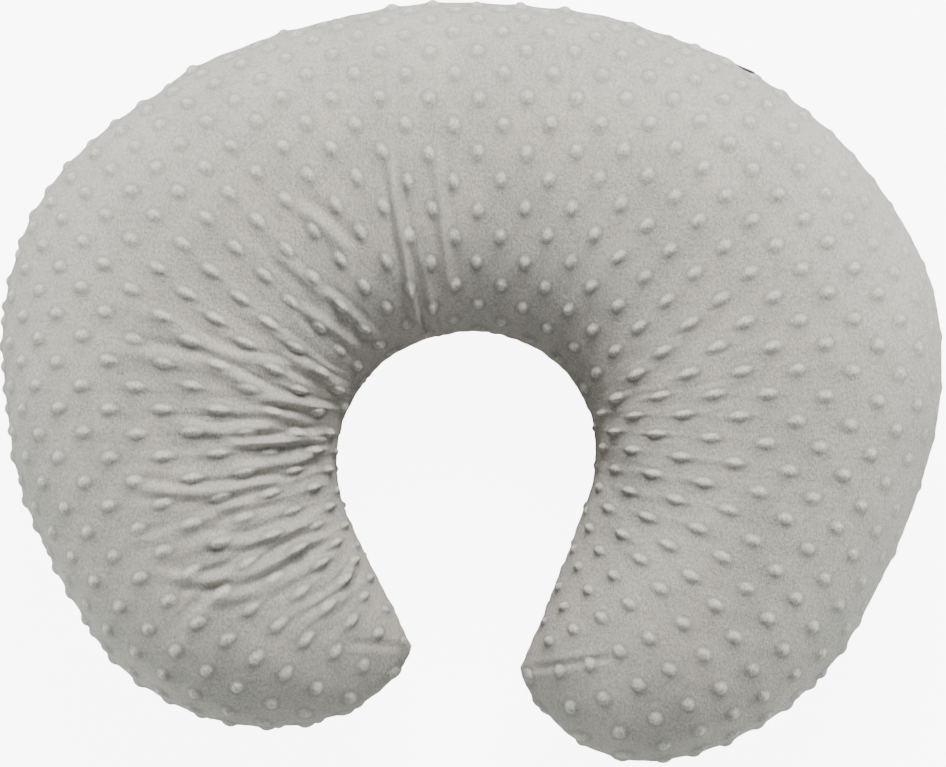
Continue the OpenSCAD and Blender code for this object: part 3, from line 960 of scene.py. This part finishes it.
class PILLOW_OT_stage(bpy.types.Operator):
    """Adds the pale floor, the soft lights and the camera straight above"""

    bl_idname = "pillow.stage"
    bl_label = "Stage"

    def execute(self, context):
        look = context.scene.pillow_look
        bm = bmesh.new()
        bmesh.ops.create_grid(bm, x_segments=1, y_segments=1, size=6.0)
        bmesh.ops.translate(bm, vec=(0, 0, -0.0005), verts=bm.verts)
        mesh = mesh_of(bm, "floor")
        floor = bpy.data.objects.new("floor", mesh)
        context.scene.collection.objects.link(floor)
        mesh.materials.append(floor_finish(look))
        for name, place, size, power in LIGHTS:
            colour = look.key_colour if name == KEY else look.fill_colour
            self.light(context, name, place, size, power, colour)
        world = bpy.data.worlds.new("studio")
        world.use_nodes = True
        world.node_tree.nodes["Background"].inputs[0].default_value = (1.0, 1.0, 1.0, 1.0)
        world.node_tree.nodes["Background"].inputs[1].default_value = SKY_STRENGTH
        context.scene.world = world
        camera = bpy.data.objects.new("camera", bpy.data.cameras.new("camera"))
        context.scene.collection.objects.link(camera)
        camera.location = (0, 0, SEAM_Z * MM + look.camera_height)
        camera.data.lens = camera.data.sensor_width * look.camera_height / (look.view_width * MM)
        camera.data.clip_end = 50
        context.scene.camera = camera
        return {"FINISHED"}

    @staticmethod
    def light(context, name, place, size, power, colour):
        lamp = bpy.data.lights.new(name, "AREA")
        lamp.shape = "RECTANGLE"
        lamp.size, lamp.size_y = size
        lamp.energy = power
        lamp.color = colour
        holder = bpy.data.objects.new(name, lamp)
        context.scene.collection.objects.link(holder)
        holder.location = place
        holder.rotation_euler = (Vector((0, 0, 0.07)) - Vector(place)).to_track_quat("-Z", "Y").to_euler()


class PILLOW_OT_cover(bpy.types.Operator):
    """Builds the two dotted plush panels of the cover"""

    bl_idname = "pillow.cover"
    bl_label = "Cover"

    def execute(self, context):
        look = context.scene.pillow_look
        plush = plush_finish(look)
        for name, up, node, detail in (
            ("plush_top", True, "cover_top_panel", 1.0),
            ("plush_bottom", False, "cover_bottom_panel", 0.75),
        ):
            rows, columns = int(look.face_rows * detail), int(look.face_columns * detail)
            s, face, dot_shading_mask, parted = plush_skin(look, rows, columns, up)
            SKINS[up] = (s, face)
            share = np.linspace(0, 1, 15)
            lining = section(look, s * last_s(2) / last_s(0), share, look.plush_thickness, up, parted)
            ring = folded_over(face, lining, (0.3, 0.7))
            # Painted light of the dots, a painted highlight on their tops and painted shade in rings round
            # them, over the face only.
            spread_dot_shading = np.zeros(ring.shape[:2])
            spread_dot_shading[:, :dot_shading_mask.shape[1]] = dot_shading_mask
            mesh = closed_sheet(name, ring, spread_dot_shading)
            piece = Piece.finish(name, mesh, plush, BODY, "plush", node)
        return {"FINISHED"}


def sew_line(bm, line, pitch, length, thickness, lean):
    """Leaning stitches along a level line at the seam's height."""
    run = distances(line)
    for place in np.arange(pitch / 2, run[-1] - pitch / 2, pitch):
        x, y = (np.interp(place, run, line[:, k]) for k in (0, 1))
        ahead = [np.interp(place + 0.5, run, line[:, k]) for k in (0, 1)]
        turn = Matrix.Rotation(math.atan2(ahead[1] - y, ahead[0] - x), 4, "Z")
        matrix = Matrix.Translation(Vector((x, y, SEAM_Z)) * MM) @ turn @ Matrix.Rotation(lean, 4, "Y")
        add_stitch(bm, matrix, length, thickness)


class PILLOW_OT_seam(bpy.types.Operator):
    """Sews the two panels together round the arms and the hollow"""

    bl_idname = "pillow.seam"
    bl_label = "Seam"

    def execute(self, context):
        look = context.scene.pillow_look
        material = thread_finish("seam_thread", look.thread)
        bm = bmesh.new()
        right, left = back_angle(np.array([1.0]))[0], back_angle(np.array([-1.0]))[0]
        last = last_s(1)
        for line in (
            outer_line(np.linspace((look.zip_right + 6) / right, last, 1200), 3.0),
            inner_line(np.linspace(last, -last, 1600), 3.0),
            outer_line(np.linspace(-last, -(look.zip_left - 6) / left, 1200), 3.0),
        ):
            sew_line(bm, line, look.stitch_pitch, 2.2, 0.6, 0.5)
        mesh = mesh_of(bm, "seam_stitches")
        Piece.finish("seam_stitches", mesh, material, BODY, "thread", "cover_seam_thread")
        return {"FINISHED"}


class PILLOW_OT_zip(bpy.types.Operator):
    """Builds the zip's tapes and coils and finishes its stops, slider and pull tab"""

    bl_idname = "pillow.zip"
    bl_label = "Zip"

    def execute(self, context):
        look = context.scene.pillow_look
        tape = woven_finish("zip_tape_weave", look.zip_colour, 0.45)
        plastic = coil_finish("coil_nylon", look.zip_colour)
        metal = metal_finish("slider_lacquer", look.metal)
        for name, node, body in (
            ("slider_body", "zip_slider_body", SLIDER), ("pull_tab_plate", "zip_pull_tab", TAB),
            ("top_stops", "zip_top_stops", BODY), ("bottom_stop", "zip_bottom_stop", BODY),
        ):
            Piece.finish(name, eased_copy(name, node), metal, body, "slider_metal", node, smooth=False)
        radius = BACK_RADIUS
        for name, side, node in (("tape_upper", 1, "zip_tape_upper"), ("tape_lower", -1, "zip_tape_lower")):
            angles = np.linspace(look.zip_left - 1.5, look.zip_right + 3, 281)
            heights = side * np.linspace(look.tape_gap, look.tape_gap + look.tape_width, 13)
            cord = 0.25 * bell((np.abs(heights) - look.tape_gap - 0.4) / 0.5)
            face, lining = (
                np.array([
                    [back_point(a, look.tape_depth + d, h) / MM for h, d in zip(heights, depth)]
                    for a in angles
                ])
                for depth in (-cord, look.tape_thickness + 0 * cord)
            )
            mesh = closed_sheet(name, folded_over(face, lining, (0.5,)))
            piece = Piece.finish(name, mesh, tape, BODY, "zip_tape", node)
            length = math.radians(angles[-1] - angles[0]) * (radius - look.tape_depth) * MM
        start, stop = look.zip_left + 1, look.zip_right
        turns = math.radians(stop - start) * radius / look.coil_pitch
        theta = np.arange(0, turns * 2 * math.pi, 2 * math.pi / 12)
        for name, side, node in (("coil_upper", 1, "zip_coil_upper"), ("coil_lower", -1, "zip_coil_lower")):
            phase = theta + (math.pi if side < 0 else 0)
            angle = start + (stop - start) * theta / theta[-1]
            depth = 2.75 + 0.5 * np.cos(phase)
            height = side * (1.25 + 1.2 * np.sin(phase))
            line = [back_point(a, d, h) for a, d, h in zip(angle, depth, height)]
            mesh = wire_mesh(name, [line], 0.27)
            Piece.finish(name, mesh, plastic, BODY, "zip_coil", node)
        return {"FINISHED"}


class PILLOW_OT_stitching(bpy.types.Operator):
    """Sews the topstitching beside the zip and the bar tacks at its ends"""

    bl_idname = "pillow.stitching"
    bl_label = "Stitching"

    def execute(self, context):
        look = context.scene.pillow_look
        material = thread_finish("topstitch_thread", look.thread)
        step = math.degrees(look.stitch_pitch / BACK_RADIUS)
        for name, up, node in (
            ("topstitch_upper", True, "zip_stitching_upper"),
            ("topstitch_lower", False, "zip_stitching_lower"),
        ):
            bm = bmesh.new()
            for angle in np.arange(look.zip_left - 1, look.zip_right + 2, step):
                place = Matrix.Translation(on_skin(up, angle, look.stitch_inset)) @ back_turn(angle)
                add_stitch(bm, place @ Matrix.Translation((0, 0.15 * MM, 0)), 2.5, 0.6)
            Piece.finish(name, mesh_of(bm, name), material, BODY, "thread", node)
        bm = bmesh.new()
        for angle in (look.zip_left - 1.4, look.zip_right + 2.6):
            for k in range(22):
                height = 0.55 * (k - 10.5)
                at = on_skin(height > 0, angle + 0.28 * math.sin(k * 2.1), max(0.0, abs(height) - 0.4))
                lean = Matrix.Rotation(math.radians(84 if k % 2 else 96), 4, "Y")
                raised = Matrix.Translation((0, 0.2 * MM, 0))
                add_stitch(bm, Matrix.Translation(at) @ back_turn(angle) @ lean @ raised, 2.4, 0.6)
        Piece.finish("bar_tacks", mesh_of(bm, "bar_tacks"), material, BODY, "thread", "zip_bartacks")
        return {"FINISHED"}


class PILLOW_OT_labels(bpy.types.Operator):
    """Makes the two blank labels inside the cover"""

    bl_idname = "pillow.labels"
    bl_label = "Labels"

    def execute(self, context):
        look = context.scene.pillow_look
        material = woven_finish("label_satin", look.label, 0.3, 0.5)
        for name, node, rows, s_range, share_range, inset in (
            ("care_label_sheet", "care_label", 24, (0.03, 0.07), (0.078, 0.245), 3.75),
            ("casing_label_sheet", "casing_label", 24, (-0.30, -0.25), (0.03, 0.145), 4.95),
        ):
            s = np.linspace(*s_range, rows + 1)
            share = np.linspace(*share_range, rows + 1)
            face = section(look, s, share, inset, False)
            lining = section(look, s, share, inset + 0.3, False)
            mesh = closed_sheet(name, folded_over(face, lining, (0.5,)))
            piece = Piece.finish(name, mesh, material, BODY, "label", node)
        return {"FINISHED"}


class PILLOW_OT_cushion(bpy.types.Operator):
    """Builds the inner cushion: its casing, its stitches and its fibre"""

    bl_idname = "pillow.cushion"
    bl_label = "Inner cushion"

    def execute(self, context):
        look = context.scene.pillow_look
        casing = bonded_finish("casing_fabric", look.casing)
        for name, up, node in (
            ("casing_top_sheet", True, "casing_top_panel"),
            ("casing_bottom_sheet", False, "casing_bottom_panel"),
        ):
            s = np.linspace(-last_s(CASING_FACE), last_s(CASING_FACE), 241)
            face = section(look, s, np.linspace(0, 1, 61), CASING_FACE, up)
            lining = section(look, s, np.linspace(0, 1, 13), CASING_BACK, up)
            mesh = closed_sheet(name, folded_over(face, lining, (0.5,)))
            piece = Piece.finish(name, mesh, casing, BODY, "casing", node)
        s = np.linspace(-last_s(FIBRE_FACE), last_s(FIBRE_FACE), 241)
        upper, lower = (section(look, s, np.linspace(0, 1, 49), FIBRE_FACE, up) for up in (True, False))
        ring = np.concatenate([upper, lower[:, ::-1], upper[:, :1]], 1)
        mesh = closed_sheet("fibre_body", ring)
        fibre = fibre_finish("polyester_fibre", look.casing)
        piece = Piece.finish("fibre_body", mesh, fibre, BODY, "filling", "fibre_fill")
        thread = thread_finish("casing_thread", look.casing)
        last = last_s(6.2)
        bm = bmesh.new()
        for line in (
            outer_line(np.linspace(-last, last, 2400), CASING_THREAD),
            inner_line(np.linspace(last, -last, 1600), CASING_THREAD),
        ):
            sew_line(bm, line, 4.0, 3.0, 0.4, 0.3)
        mesh = mesh_of(bm, "casing_stitches")
        Piece.finish("casing_stitches", mesh, thread, BODY, "thread", "casing_seam_thread")
        bm = bmesh.new()
        for k in range(24):
            angle = 0.9 * (k - 11.5)
            slant = Matrix.Rotation(math.radians(90 - 25), 4, "Y")
            place = Matrix.Translation(back_point(angle, 5.5, 0))
            add_stitch(bm, place @ back_turn(angle) @ slant, 5.0, 0.55)
        mesh = mesh_of(bm, "closing_stitches")
        Piece.finish("closing_stitches", mesh, thread, BODY, "thread", "casing_closing_stitches")
        return {"FINISHED"}


class PILLOW_PT_panel(bpy.types.Panel):
    """Lists the pillow's operators in the sidebar"""

    bl_idname = "PILLOW_PT_panel"
    bl_label = "Nursing pillow"
    bl_space_type = "VIEW_3D"
    bl_region_type = "UI"
    bl_category = "Pillow"

    def draw(self, context):
        for step in STEPS:
            self.layout.operator(step.bl_idname)


STEPS = (
    PILLOW_OT_stage, PILLOW_OT_cover, PILLOW_OT_seam, PILLOW_OT_zip,
    PILLOW_OT_stitching, PILLOW_OT_cushion, PILLOW_OT_labels,
)
CLASSES = (PillowLook, *STEPS, PILLOW_PT_panel)


def register():
    for each in CLASSES:
        bpy.utils.register_class(each)
    bpy.types.Scene.pillow_look = bpy.props.PointerProperty(type=PillowLook)


def unregister():
    del bpy.types.Scene.pillow_look
    for each in reversed(CLASSES):
        bpy.utils.unregister_class(each)


def main():
    register()
    for step in STEPS:
        group, name = step.bl_idname.split(".")
        getattr(getattr(bpy.ops, group), name)()


if __name__ == "__main__":
    main()
